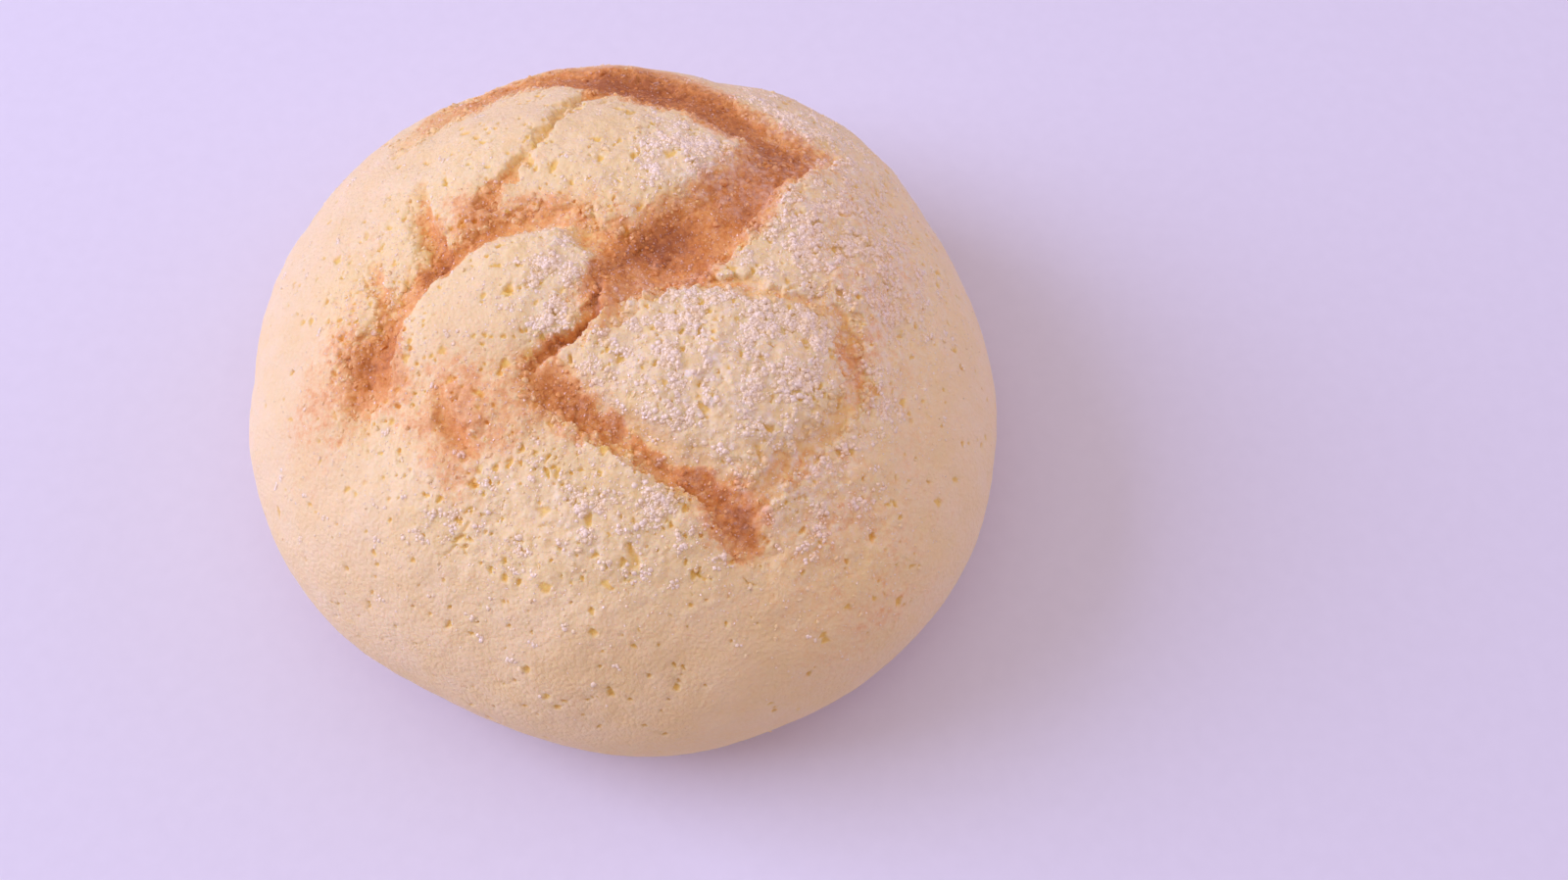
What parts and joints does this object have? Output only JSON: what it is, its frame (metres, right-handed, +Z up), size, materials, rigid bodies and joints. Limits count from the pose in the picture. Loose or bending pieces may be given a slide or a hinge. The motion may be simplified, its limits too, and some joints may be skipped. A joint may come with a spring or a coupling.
{
  "type": "melon pan bun",
  "caption": "Round sweet bread bun with a pale cracked cookie crust: a low dome with raised pads, browned valleys between them, a smooth side and a flat underside.",
  "frame": {"origin": "middle of the flat underside, which is the bottom centre of the bounding box", "axes": "+Z up through the crown; +X to the right and +Y away from someone who looks at the bun's front"},
  "size_m": [0.122, 0.1204, 0.0569],
  "materials": {
    "crust": "dry baked cookie dough, pale cream with light brown valleys",
    "sugar": "clear to white granulated sugar crystals"
  },
  "bodies": {
    "root": {"bun": "crust"}
  },
  "joints": []
}
